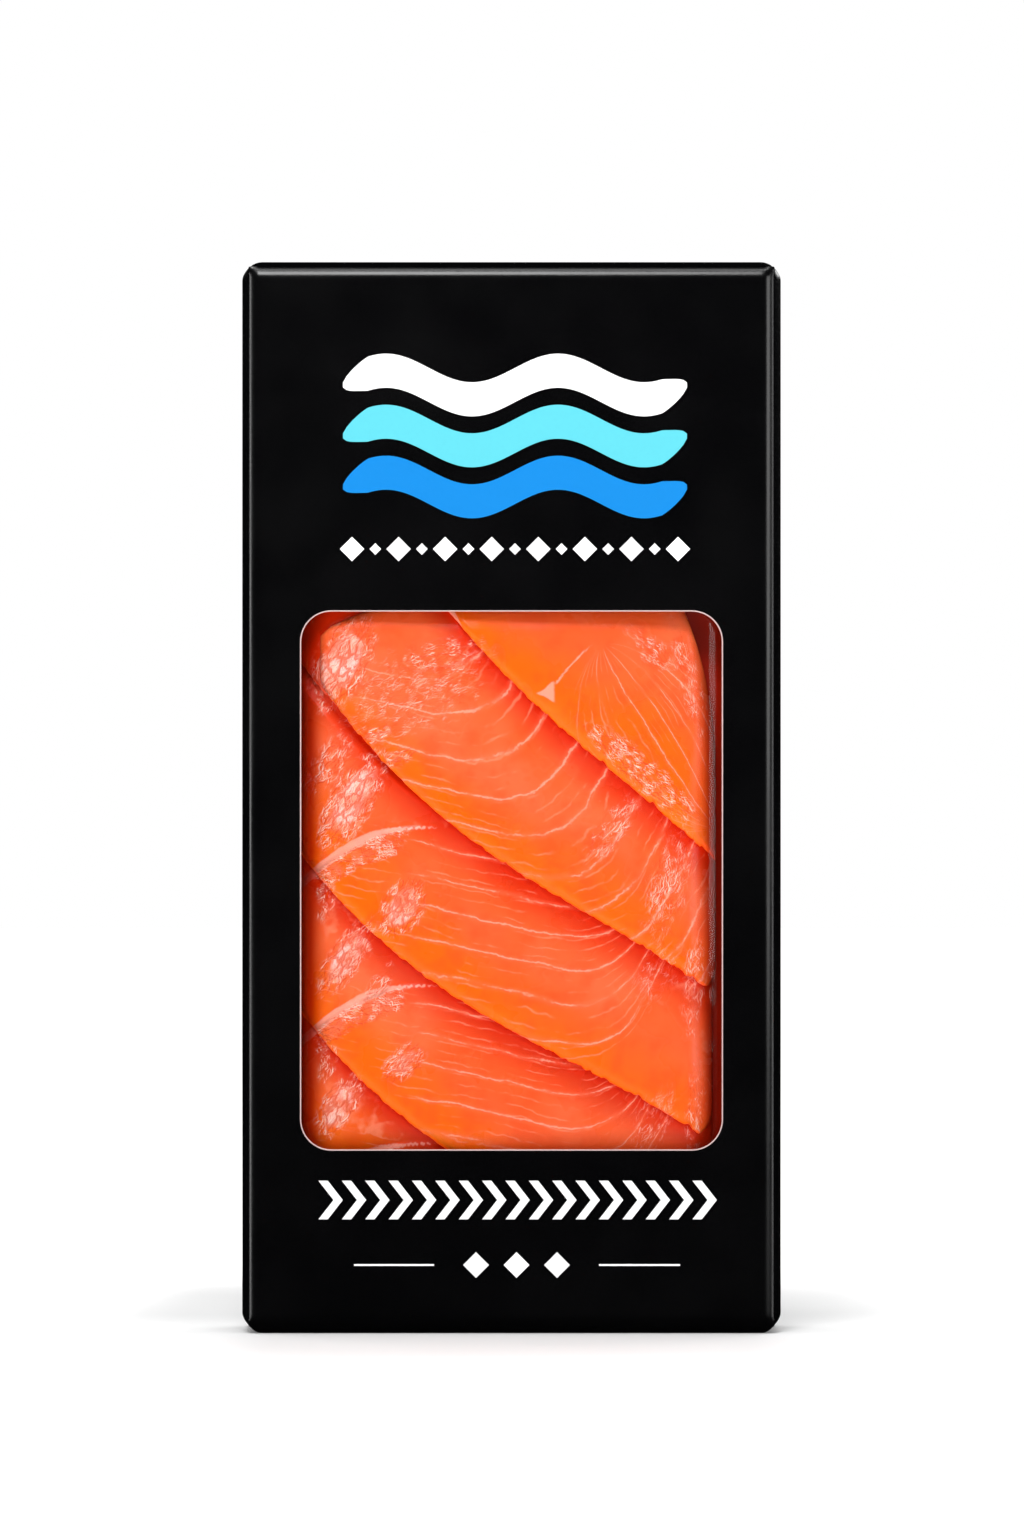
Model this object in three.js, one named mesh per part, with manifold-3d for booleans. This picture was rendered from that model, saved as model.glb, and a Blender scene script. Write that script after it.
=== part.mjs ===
// A one-kilogram retail pack of sliced smoked salmon: an upright black carton of folding board with a
// window in its front panel, a clear film behind the window, and overlapping slices of salmon.
// Units are millimetres. X runs to the right, -Y towards the viewer and +Z up.
// The origin is the centre of the base that the pack stands on.
import * as THREE from "three";
import { mergeVertices } from "three/addons/utils/BufferGeometryUtils.js";
import Module from "manifold-3d";

const wasm = await Module();
wasm.setup();

// Driving dimensions of the carton
const PACK_WIDTH = 151;
const PACK_DEPTH = 40;
const PACK_HEIGHT = 300;
const BOARD = 0.6; // thickness of the folding board
const CLEARANCE = 0.3; // gap kept between pieces that touch

// How far each filled panel stands out from the straight creases around it, and how far from
// a crease it takes to reach that, across the depth of the pack and along its front.
const FACE_SWELL = 1.2;
const SIDE_SWELL = 2.0;
const TOP_SWELL = 1.5;
const BASE_SWELL = 2.0;
const FACE_ROLL = 3.2;
const SIDE_ROLL = 6;
const END_ROLL = 3.6;
const BASE_ROLL = 4;

// Window in the front panel
const WINDOW_WIDTH = 117.6;
const WINDOW_HEIGHT = 150.4;
const WINDOW_RADIUS = 8.4;
const WINDOW_BASE = 51.6; // from the floor to the lower edge of the window
const WINDOW_MIDDLE = WINDOW_BASE + WINDOW_HEIGHT / 2;
const ARC_STEPS = 10; // segments in each rounded corner

// Clear film behind the window
const FILM = 0.2;
const FILM_MARGIN = 3.6; // how far the film reaches past the window's edge
const FILM_FRONT = -PACK_DEPTH / 2 + BOARD + CLEARANCE;

// Slices
const SLICE = 2.6; // thickness of a slice
const SLICE_GAP = 0.7; // air between a slice and the one it lies on
const LAYER = SLICE + SLICE_GAP; // depth from one slice to the one it lies on
const SLICE_ROUND = 3; // how far from its edge a slice reaches its full thickness
const SLICE_FRONT = FILM_FRONT + FILM + CLEARANCE;
const EDGE_REACH = 55; // half-width over which the edge curves are stated
const TUCK = 18; // how far a short slice is tucked under the one above it
const GRID_STEP = 6.2; // spacing of the slices' facets away from their edges

// The salmon rolls away towards the sides and the ends of the window.
const SIDE_FLAT = 49;
const SIDE_FALL = 4.2;
const SIDE_RUN = 8.5;
const END_FLAT = 69;
const END_FALL = 1.6;
const END_RUN = 9;

// The rest of the salmon, as one block behind the slices that show
const STACK_HALF_WIDTH = 67;
const STACK_BASE = 8;
const STACK_TOP = 291;
const STACK_CORNER = 14;
const STACK_ROUND = 9;
const STACK_BACK = PACK_DEPTH / 2 - 2.4;
const STACK_FRONT = SLICE_FRONT + 3.2 * LAYER;

// Colours, from the board and the fish
const BOARD_BLACK = 0x0b0b0c;
const SALMON = 0xf4663a;
const SALMON_DEEP = 0xc9401c;
const CLEAR = 0xffffff;

// Shape helpers

function clamp(value, low, high) {
  return Math.min(high, Math.max(low, value));
}

// 0 at a crease, rising to 1 at a distance of reach from it, level from there on.
function swell(distance, reach) {
  const left = 1 - clamp(distance / reach, 0, 1);
  return 1 - left * left;
}

// Share of the full thickness at a distance from a rounded edge.
function roundedEdge(distance, reach) {
  const left = 1 - clamp(distance / reach, 0, 1);
  return Math.sqrt(1 - left * left);
}

// Distances from 0 to length, close together at both ends and about step apart between them.
function stops(length, ends, step) {
  const near = ends.filter((d) => d < length * 0.45);
  const last = near[near.length - 1];
  const count = Math.max(1, Math.round((length - 2 * last) / step));
  const middle = Array.from(
    { length: count - 1 },
    (_, i) => last + ((i + 1) * (length - 2 * last)) / count,
  );
  return [...near, ...middle, ...near.map((d) => length - d).reverse()];
}

// A grid of points as triangles, seen from the side where the rows run right and the columns up.
function gridFaces(rows) {
  const out = [];
  for (let j = 0; j + 1 < rows.length; j++)
    for (let i = 0; i + 1 < rows[j].length; i++) {
      const a = rows[j][i];
      const b = rows[j][i + 1];
      const c = rows[j + 1][i + 1];
      const d = rows[j + 1][i];
      out.push(a, b, c, a, c, d);
    }
  return out;
}

function flipped(points) {
  const out = [];
  for (let i = 0; i < points.length; i += 3)
    out.push(points[i], points[i + 2], points[i + 1]);
  return out;
}

function geometryOf(points) {
  const flat = new Float32Array(points.flatMap((p) => [p.x, p.y, p.z]));
  const geometry = new THREE.BufferGeometry();
  geometry.setAttribute("position", new THREE.BufferAttribute(flat, 3));
  const merged = mergeVertices(geometry, 1e-4);
  const kept = [];
  for (let i = 0; i < merged.index.count; i += 3) {
    const [a, b, c] = [0, 1, 2].map((k) => merged.index.getX(i + k));
    if (a !== b && b !== c && a !== c) kept.push(a, b, c);
  }
  merged.setIndex(kept);
  return merged;
}

function solidOf(geometry) {
  const bare = new THREE.BufferGeometry();
  bare.setAttribute("position", geometry.getAttribute("position"));
  bare.setIndex(geometry.index);
  const merged = mergeVertices(bare, 1e-4);
  return new wasm.Manifold(
    new wasm.Mesh({
      numProp: 3,
      vertProperties: new Float32Array(merged.attributes.position.array),
      triVerts: new Uint32Array(merged.index.array),
    }),
  );
}

function geometryOfSolid(solid) {
  const mesh = solid.getMesh();
  const geometry = new THREE.BufferGeometry();
  geometry.setAttribute(
    "position",
    new THREE.BufferAttribute(mesh.vertProperties, 3),
  );
  geometry.setIndex(new THREE.BufferAttribute(mesh.triVerts, 1));
  return geometry;
}

// Carton

// The six panels between the creases, each swelling out from them, as one closed surface.
// inset moves all of it inwards, for the inner face of the board.
function filledBox(inset) {
  const halfWidth = PACK_WIDTH / 2 - SIDE_SWELL - inset;
  const halfDepth = PACK_DEPTH / 2 - FACE_SWELL - inset;
  const low = BASE_SWELL + inset;
  const high = PACK_HEIGHT - TOP_SWELL - inset;
  const xs = stops(2 * halfWidth, [0, 0.7, 1.5, 2.4, 3.6], 46);
  const ys = stops(2 * halfDepth, [0, 0.8, 1.8, 3.2, 5.8], 14);
  const zs = stops(high - low, [0, 0.7, 1.5, 2.4, 3.6], 72);
  const size = { x: 2 * halfWidth, y: 2 * halfDepth, z: high - low };
  const ends = (d, length, reach) => swell(Math.min(d, length - d), reach);
  const panel = (across, up, place) =>
    gridFaces(up.map((b) => across.map((a) => place(a, b))));
  const face = (a, b) =>
    FACE_SWELL * ends(a, size.x, FACE_ROLL) * ends(b, size.z, FACE_ROLL);
  const side = (a, b) =>
    SIDE_SWELL * ends(a, size.y, SIDE_ROLL) * ends(b, size.z, END_ROLL);
  const top = (a, b) =>
    TOP_SWELL * ends(a, size.x, END_ROLL) * ends(b, size.y, SIDE_ROLL);
  const base = (a, b) =>
    BASE_SWELL * ends(a, size.x, END_ROLL) * ends(b, size.y, BASE_ROLL);
  const at = (x, y, z) => new THREE.Vector3(x, y, z);
  return geometryOf([
    ...panel(xs, zs, (a, b) =>
      at(a - halfWidth, -halfDepth - face(a, b), low + b),
    ),
    ...flipped(
      panel(xs, zs, (a, b) =>
        at(a - halfWidth, halfDepth + face(a, b), low + b),
      ),
    ),
    ...panel(ys, zs, (a, b) =>
      at(halfWidth + side(a, b), a - halfDepth, low + b),
    ),
    ...flipped(
      panel(ys, zs, (a, b) =>
        at(-halfWidth - side(a, b), a - halfDepth, low + b),
      ),
    ),
    ...panel(xs, ys, (a, b) => at(a - halfWidth, b - halfDepth, high + top(a, b))),
    ...flipped(
      panel(xs, ys, (a, b) => at(a - halfWidth, b - halfDepth, low - base(a, b))),
    ),
  ]);
}

function roundedRectangle(halfWidth, halfHeight, radius) {
  const shape = new THREE.Shape();
  const [w, h, r] = [halfWidth, halfHeight, radius];
  shape.absarc(w - r, h - r, r, 0, Math.PI / 2);
  shape.absarc(r - w, h - r, r, Math.PI / 2, Math.PI);
  shape.absarc(r - w, r - h, r, Math.PI, 1.5 * Math.PI);
  shape.absarc(w - r, r - h, r, 1.5 * Math.PI, 2 * Math.PI);
  return shape;
}

// The cutter stands at the front panel and is deep enough to pass through the board alone.
function windowCutter() {
  const depth = 6;
  const outline = roundedRectangle(
    WINDOW_WIDTH / 2,
    WINDOW_HEIGHT / 2,
    WINDOW_RADIUS,
  );
  const cutter = new THREE.ExtrudeGeometry(outline, {
    depth,
    bevelEnabled: false,
    curveSegments: ARC_STEPS,
  });
  cutter.deleteAttribute("normal");
  cutter.deleteAttribute("uv");
  cutter.rotateX(Math.PI / 2);
  cutter.translate(0, depth / 2 - PACK_DEPTH / 2, WINDOW_MIDDLE);
  return mergeVertices(cutter, 1e-4);
}

function cartonGeometry() {
  const shell = solidOf(filledBox(0)).subtract(solidOf(filledBox(BOARD)));
  return geometryOfSolid(shell.subtract(solidOf(windowCutter())));
}

// Salmon

// Lower edge of a slice as a height over x: level at the middle, how far it falls to either end of
// the stated reach, how much both ends lift, and how much more the ends swing.
function edgeLine({ middle, fall, lift, swing }) {
  return (x) => {
    const s = x / EDGE_REACH;
    return middle - fall * s + lift * s * s - swing * s * s * s;
  };
}

const PITCH = 44.3; // from one of the lower slices to the next, down the pack
const LOWER_SLICE = { middle: 84.7, fall: 30.3, lift: 6.8, swing: 7.2 };
const lowered = (steps) =>
  edgeLine({ ...LOWER_SLICE, middle: LOWER_SLICE.middle - steps * PITCH });
const EDGES = [
  edgeLine({ middle: 182.6, fall: 55.1, lift: 15.9, swing: 9.1 }),
  edgeLine({ middle: 130.3, fall: 36, lift: 9.8, swing: 7.8 }),
  lowered(0),
  lowered(1),
  lowered(2),
];

// How many lower edges lie above a point, as a number that grows steadily from one to the next.
// A slice is as many layers deep at a point as this number falls short of its own.
function shingle(x, z) {
  const heights = EDGES.map((edge) => edge(x));
  const above = heights.findIndex((height) => z >= height);
  const below = above < 0 ? heights.length - 1 : Math.max(above, 1);
  const gap = heights[below - 1] - heights[below];
  return below - (z - heights[below]) / gap;
}

// How far the whole heap falls back from the film towards the sides and ends of the window.
function fallBack(x, z) {
  const side = clamp((Math.abs(x) - SIDE_FLAT) / SIDE_RUN, 0, 1.2);
  const end = clamp((Math.abs(z - WINDOW_MIDDLE) - END_FLAT) / END_RUN, 0, 1);
  return SIDE_FALL * side * side + END_FALL * end * end * (3 - 2 * end);
}

// Extra depth of the lower slices where the tucked end of the short slice lies on them.
const SHORT_SLICE = 1.5;
const SHORT_EDGE = edgeLine({
  ...LOWER_SLICE,
  middle: LOWER_SLICE.middle + 53.5,
});
const SHORT_RIGHT = -34;
const PRESS_MARGIN = 2; // they are pressed down to their full depth this far out round it

function pressedDown(x, z) {
  const across = clamp((SHORT_RIGHT + PRESS_MARGIN + 10 - x) / 10, 0, 1);
  const up = clamp((z - SHORT_EDGE(x) + PRESS_MARGIN + 4) / 4, 0, 1);
  return (SHORT_SLICE + SLICE_GAP) * across * up;
}

// One slice: a slab with round edges over the outline low(x)..high(x), left(w)..right(w), where w is
// the height above its lower edge. depth(x, z) is where its front face would be with square edges.
function sliceGeometry({ low, high, left, right, depth, thickness = SLICE }) {
  const ends = [0, 0.3, 1, 2.4, 5];
  const rolled = [8.2, 11.6]; // the sides of the heap, where the slices curve back
  const longest = Math.max(...[0, 20, 40].map((w) => right(w) - left(w)));
  const along = stops(longest, [...ends, ...rolled], GRID_STEP).map(
    (d) => d / longest,
  );
  const tallest = high(0) - low(0);
  const up = stops(tallest, ends, GRID_STEP).map((d) => d / tallest);
  const place = (u, v, side) => {
    const w = v * tallest;
    const x = left(w) + u * (right(w) - left(w));
    const height = high(x) - low(x);
    const z = low(x) + v * height;
    const inwards = Math.min(
      v * height,
      (1 - v) * height,
      u * (right(w) - left(w)),
      (1 - u) * (right(w) - left(w)),
    );
    const half = (thickness / 2) * roundedEdge(inwards, SLICE_ROUND);
    const y = depth(x, z) + thickness / 2 + side * half;
    return new THREE.Vector3(x, y, z);
  };
  const face = (side) =>
    gridFaces(up.map((v) => along.map((u) => place(u, v, side))));
  return geometryOf([...face(-1), ...flipped(face(1))]);
}

// An end of a slice that turns in over the last stretch before its lower and upper edges.
function roundedEnd(x, turn, reach, top) {
  return (w) => {
    const near = 1 - clamp(Math.min(w, top - w) / reach, 0, 1);
    return x - turn * near * near;
  };
}

function layerDepth(number) {
  return (x, z) =>
    SLICE_FRONT +
    LAYER * (number - shingle(x, z)) +
    fallBack(x, z) +
    (number > 1 ? pressedDown(x, z) : 0);
}

// Named slices, from the top right corner of the window down to the bottom left
const SLICE_LEFT = -61; // just past the window's left edge
const UPPER_LEFT = -53.6; // the upper slice ends short of it, in a rounded corner
const UPPER_DROP = 13.5; // how far that corner lies below the rest of its top
const UPPER_DROP_START = -12;

function sliceSpecs() {
  const hiddenTop = WINDOW_BASE + WINDOW_HEIGHT + 8;
  const long = 78; // full height of the upper slice, half of it under the one above
  const upperTop = (x) => {
    const across = clamp(
      (UPPER_DROP_START - x) / (UPPER_DROP_START - UPPER_LEFT),
      0,
      1,
    );
    return hiddenTop - UPPER_DROP * across ** 1.5;
  };
  return {
    slice_top_right: {
      low: EDGES[0],
      high: () => hiddenTop,
      left: () => -22,
      right: (w) => 57.2 - 0.0056 * Math.max(0, w * 2.6 - 24) ** 2,
      depth: layerDepth(0),
    },
    slice_upper: {
      low: EDGES[1],
      high: (x) => Math.min(EDGES[1](x) + long, upperTop(x)),
      left: roundedEnd(UPPER_LEFT, -3, 9, long),
      right: roundedEnd(57.4, 3, 9, long),
      depth: layerDepth(1),
    },
    slice_short: {
      low: SHORT_EDGE,
      high: (x) => Math.min(SHORT_EDGE(x) + 45, hiddenTop - 4),
      left: () => SLICE_LEFT,
      right: () => SHORT_RIGHT,
      depth: (x, z) =>
        SLICE_FRONT + LAYER * (2 - shingle(x, z)) + fallBack(x, z),
      thickness: SHORT_SLICE,
    },
    slice_middle: {
      low: EDGES[2],
      high: (x) => EDGES[2](x) + PITCH + TUCK,
      left: roundedEnd(SLICE_LEFT, -0.8, 4, PITCH + TUCK),
      right: roundedEnd(56.4, 4, 10, PITCH + TUCK),
      depth: layerDepth(2),
    },
    slice_lower: {
      low: EDGES[3],
      high: (x) => EDGES[3](x) + PITCH + TUCK,
      left: roundedEnd(SLICE_LEFT, -0.8, 4, PITCH + TUCK),
      right: roundedEnd(56.4, 4, 10, PITCH + TUCK),
      depth: layerDepth(3),
    },
    slice_bottom: {
      low: (x) => Math.max(EDGES[4](x), 14 + x * 0.03),
      high: (x) => EDGES[4](x) + PITCH + TUCK,
      left: roundedEnd(SLICE_LEFT, -0.8, 4, PITCH + TUCK),
      right: () => 30,
      depth: layerDepth(4),
    },
  };
}

// The block behind the slices keeps their roll towards the sides and has round edges all over.
function stackGeometry() {
  const width = 2 * STACK_HALF_WIDTH;
  const height = STACK_TOP - STACK_BASE;
  const ends = [0, 0.8, 2.6, 5.4, 9];
  const xs = stops(width, ends, 23);
  const zs = stops(height, ends, 38);
  const corner = (x, z) => {
    const dx = Math.max(0, Math.abs(x) - STACK_HALF_WIDTH + STACK_CORNER);
    const half = height / 2;
    const dz = Math.max(
      0,
      Math.abs(z - STACK_BASE - half) - half + STACK_CORNER,
    );
    const reach = Math.max(dx, dz);
    const over = Math.hypot(dx, dz);
    return over > 0 ? reach / over : 1;
  };
  const place = (a, b, side) => {
    const flatX = a - STACK_HALF_WIDTH;
    const flatZ = STACK_BASE + b;
    const pull = corner(flatX, flatZ);
    const midZ = STACK_BASE + height / 2;
    const anchorX = clamp(
      flatX,
      STACK_CORNER - STACK_HALF_WIDTH,
      STACK_HALF_WIDTH - STACK_CORNER,
    );
    const anchorZ = clamp(
      flatZ,
      STACK_BASE + STACK_CORNER,
      STACK_TOP - STACK_CORNER,
    );
    const x = anchorX + (flatX - anchorX) * pull;
    const z = anchorZ + (flatZ - anchorZ) * pull;
    const inwards = Math.min(a, width - a, b, height - b);
    const full = roundedEdge(inwards, STACK_ROUND);
    const front = STACK_FRONT + fallBack(x, midZ);
    const middle = (front + STACK_BACK) / 2;
    return new THREE.Vector3(
      x,
      middle + (side * full * (STACK_BACK - front)) / 2,
      z,
    );
  };
  const face = (side) =>
    gridFaces(zs.map((b) => xs.map((a) => place(a, b, side))));
  return geometryOf([...face(-1), ...flipped(face(1))]);
}

// Film: a thin sheet that lies just in front of the slices and rolls back behind the board.
function filmGeometry() {
  const halfWidth = WINDOW_WIDTH / 2 + FILM_MARGIN;
  const halfHeight = WINDOW_HEIGHT / 2 + FILM_MARGIN;
  const ends = [0, 2, 4, 6, 8.5, 11.5];
  const xs = stops(2 * halfWidth, ends, 25);
  const zs = stops(2 * halfHeight, ends, 32);
  const front = (x, z) => {
    const side = clamp((Math.abs(x) - SIDE_FLAT - 2) / SIDE_RUN, 0, 1.4);
    const end = clamp((Math.abs(z) - END_FLAT - 1) / END_RUN, 0, 1);
    return FILM_FRONT + 2.2 * side * side + 1.1 * end * end;
  };
  const sheet = (offset) =>
    gridFaces(
      zs.map((b) =>
        xs.map((a) => {
          const x = a - halfWidth;
          const z = b - halfHeight;
          return new THREE.Vector3(x, front(x, z) + offset, z + WINDOW_MIDDLE);
        }),
      ),
    );
  const rim = (fixed, moving, along) => {
    const edge = (offset) =>
      moving.map((m) => {
        const x = (along === "x" ? m : fixed) - halfWidth;
        const z = (along === "x" ? fixed : m) - halfHeight;
        return new THREE.Vector3(x, front(x, z) + offset, z + WINDOW_MIDDLE);
      });
    return gridFaces([edge(FILM), edge(0)]);
  };
  return geometryOf([
    ...sheet(0),
    ...flipped(sheet(FILM)),
    ...rim(0, xs, "x"),
    ...flipped(rim(2 * halfHeight, xs, "x")),
    ...flipped(rim(0, zs, "z")),
    ...rim(2 * halfWidth, zs, "z"),
  ]);
}

function named(name, geometry, color, roughness, extra = {}) {
  geometry.computeVertexNormals();
  const material = new THREE.MeshStandardMaterial({
    color,
    roughness,
    metalness: 0,
    ...extra,
  });
  const mesh = new THREE.Mesh(geometry, material);
  mesh.name = name;
  return mesh;
}

const pack = new THREE.Group();
pack.add(named("carton", cartonGeometry(), BOARD_BLACK, 0.5));
pack.add(
  named("window_film", filmGeometry(), CLEAR, 0.05, {
    transparent: true,
    opacity: 0.15,
  }),
);
for (const [name, spec] of Object.entries(sliceSpecs()))
  pack.add(named(name, sliceGeometry(spec), SALMON, 0.25));
pack.add(named("salmon_stack", stackGeometry(), SALMON_DEEP, 0.3));

export default pack;
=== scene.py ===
# %% [markdown]
# # A window carton of smoked salmon
# This lesson dresses an upright black carton with a clear window. The carton's frame, its film
# and the slices behind it already exist as plain solids of the right size. Here every one of them
# gets the fine surface that the real pack has. We begin by loading those solids and noting how
# much room they take.

import math

import bmesh
import bpy
import numpy as np
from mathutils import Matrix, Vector


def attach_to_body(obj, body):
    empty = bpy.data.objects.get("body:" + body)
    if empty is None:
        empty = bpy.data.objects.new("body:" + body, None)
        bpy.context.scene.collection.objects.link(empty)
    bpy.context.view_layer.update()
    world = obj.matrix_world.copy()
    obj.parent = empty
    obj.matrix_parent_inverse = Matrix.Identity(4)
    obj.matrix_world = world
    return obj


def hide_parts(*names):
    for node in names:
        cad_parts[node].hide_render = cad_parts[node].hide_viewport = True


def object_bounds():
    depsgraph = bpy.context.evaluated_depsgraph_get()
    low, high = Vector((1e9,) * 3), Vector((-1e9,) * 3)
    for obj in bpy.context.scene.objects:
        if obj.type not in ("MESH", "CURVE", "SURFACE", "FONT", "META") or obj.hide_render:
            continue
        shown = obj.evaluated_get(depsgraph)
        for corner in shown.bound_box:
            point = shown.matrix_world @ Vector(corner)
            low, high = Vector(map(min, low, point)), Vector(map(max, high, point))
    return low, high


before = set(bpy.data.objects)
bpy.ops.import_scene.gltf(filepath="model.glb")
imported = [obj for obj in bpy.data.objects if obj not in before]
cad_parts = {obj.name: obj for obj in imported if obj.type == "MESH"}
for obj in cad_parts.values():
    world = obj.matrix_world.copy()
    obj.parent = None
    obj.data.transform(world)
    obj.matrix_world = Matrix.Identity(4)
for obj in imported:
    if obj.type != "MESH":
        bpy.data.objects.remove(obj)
solid_low, solid_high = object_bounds()
MM = 0.001
print("solids reach from", tuple(solid_low), "to", tuple(solid_high))

# %% [markdown]
# ## The camera
# A pack shot is taken from far away with a long lens, so that upright edges stay parallel. The
# lens is level and looks at the pack a little above its middle. One pixel of the picture is then
# a fixed length at the pack's front, which lets us place small things by where they appear.

# %% Camera
PICTURE_WIDTH, PICTURE_HEIGHT = 1024, 1536
PIXEL = 0.2796 * MM  # length of one pixel at the pack's front
PACK_MIDDLE_PIXEL = 511.5
PACK_BASE_PIXEL = 1334.0
FRONT = solid_low.y
LENS = 200.0
SENSOR = 36.0

camera_data = bpy.data.cameras.new("pack_camera")
camera_data.sensor_fit = "VERTICAL"
camera_data.sensor_height = SENSOR
camera_data.lens = LENS
camera = bpy.data.objects.new("pack_camera", camera_data)
bpy.context.collection.objects.link(camera)
CAMERA_DISTANCE = PICTURE_HEIGHT * PIXEL * LENS / SENSOR
camera.location = (
    (PICTURE_WIDTH / 2 - PACK_MIDDLE_PIXEL) * PIXEL,
    FRONT - CAMERA_DISTANCE,
    (PACK_BASE_PIXEL - PICTURE_HEIGHT / 2) * PIXEL,
)
camera.rotation_euler = (math.radians(90), 0, 0)
camera_data.clip_end = 20
bpy.context.scene.camera = camera
bpy.context.scene.view_settings.view_transform = "Standard"


def seen_at(column, row):
    """Place on the pack's front, in millimetres, that appears at a pixel of the picture."""
    return (column - PACK_MIDDLE_PIXEL) * PIXEL / MM, (PACK_BASE_PIXEL - row) * PIXEL / MM


print("camera stands", round(CAMERA_DISTANCE, 3), "m from the front panel")

# %% [markdown]
# ## Floor and light
# The picture has a white floor and soft light from all round. A wide sun from above whitens the
# floor and leaves a soft shadow at the base. Two tall soft lamps at the sides draw the thin
# bright lines along the rolled edges of the carton, and a large one in front lights the fish. Two
# more stand behind, for anyone who walks round the pack. The surroundings are white where the
# camera looks straight at them and dark in reflections, as with black cloth round a studio table.

# %% Floor
FLOOR_HALF = 6.0
bpy.ops.object.select_all(action="DESELECT")
bpy.ops.mesh.primitive_plane_add(size=2 * FLOOR_HALF)
floor = bpy.context.object
floor.name = "floor"
floor.visible_glossy = False


# %% Lamps
def soft_lamp(name, place, target, size, power):
    """A rectangular lamp at a place, in metres, that faces a target."""
    lamp_data = bpy.data.lights.new(name, "AREA")
    lamp_data.shape = "RECTANGLE"
    lamp_data.size, lamp_data.size_y = size
    lamp_data.energy = power
    lamp = bpy.data.objects.new(name, lamp_data)
    lamp.location = place
    towards = Vector(target) - Vector(place)
    lamp.rotation_euler = towards.to_track_quat("-Z", "Y").to_euler()
    bpy.context.collection.objects.link(lamp)


PACK_CENTRE = (0, 0, 0.15)
soft_lamp("left_lamp", (-1.1, -0.42, 0.25), PACK_CENTRE, (0.18, 0.9), 4.2)
soft_lamp("right_lamp", (1.1, -0.42, 0.22), PACK_CENTRE, (0.16, 0.9), 2.1)
soft_lamp("front_lamp", (-0.2, -1.4, 1.35), PACK_CENTRE, (0.6, 0.6), 18)
soft_lamp("fill_lamp", (1.15, -1.3, 0.35), (0, 0, 0.06), (0.6, 0.6), 5)
soft_lamp("top_lamp", (0.0, -0.62, 1.25), (0, 0, 0.29), (0.9, 0.14), 2.6)
soft_lamp("back_lamp", (0.9, 1.2, 0.95), PACK_CENTRE, (1.0, 0.9), 8)
soft_lamp("back_fill_lamp", (-1.1, 1.0, 1.05), PACK_CENTRE, (0.8, 0.6), 4)
sun_data = bpy.data.lights.new("overhead_sun", "SUN")
sun_data.energy = 1.7
sun_data.angle = math.radians(70)
sun = bpy.data.objects.new("overhead_sun", sun_data)
sun.visible_glossy = False
bpy.context.collection.objects.link(sun)

world = bpy.data.worlds.new("white_surroundings")
bpy.context.scene.world = world
world.use_nodes = True
sky = world.node_tree
seen = sky.nodes.new("ShaderNodeLightPath")
backdrop = sky.nodes.new("ShaderNodeMix")
backdrop.data_type = "RGBA"
backdrop.inputs["A"].default_value = (0.003, 0.003, 0.003, 1)
backdrop.inputs["B"].default_value = (1, 1, 1, 1)
sky.links.new(seen.outputs["Is Camera Ray"], backdrop.inputs["Factor"])
sky.links.new(backdrop.outputs["Result"], sky.nodes["Background"].inputs["Color"])

# %% [markdown]
# ## A shorthand for materials
# A material is a web of nodes, which is slow to write out by hand. The class below wraps one
# socket, so that plain sums such as `1 - mask` add their Math nodes by themselves. Any other node
# comes from one method, which takes its settings first and then the values or links of its
# sockets.


# %% Shorthand
class Signal:
    """One output of a node, with arithmetic."""

    def __init__(self, finish, socket):
        self.finish = finish
        self.socket = socket

    def combine(self, operation, first, second):
        return self.finish.node("Math", {"operation": operation}, {0: first, 1: second})

    def __add__(self, other):
        return self.combine("ADD", self, other)

    def __sub__(self, other):
        return self.combine("SUBTRACT", self, other)

    def __rsub__(self, other):
        return self.combine("SUBTRACT", other, self)

    def __mul__(self, other):
        return self.combine("MULTIPLY", self, other)

    def __truediv__(self, other):
        return self.combine("DIVIDE", self, other)


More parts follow.
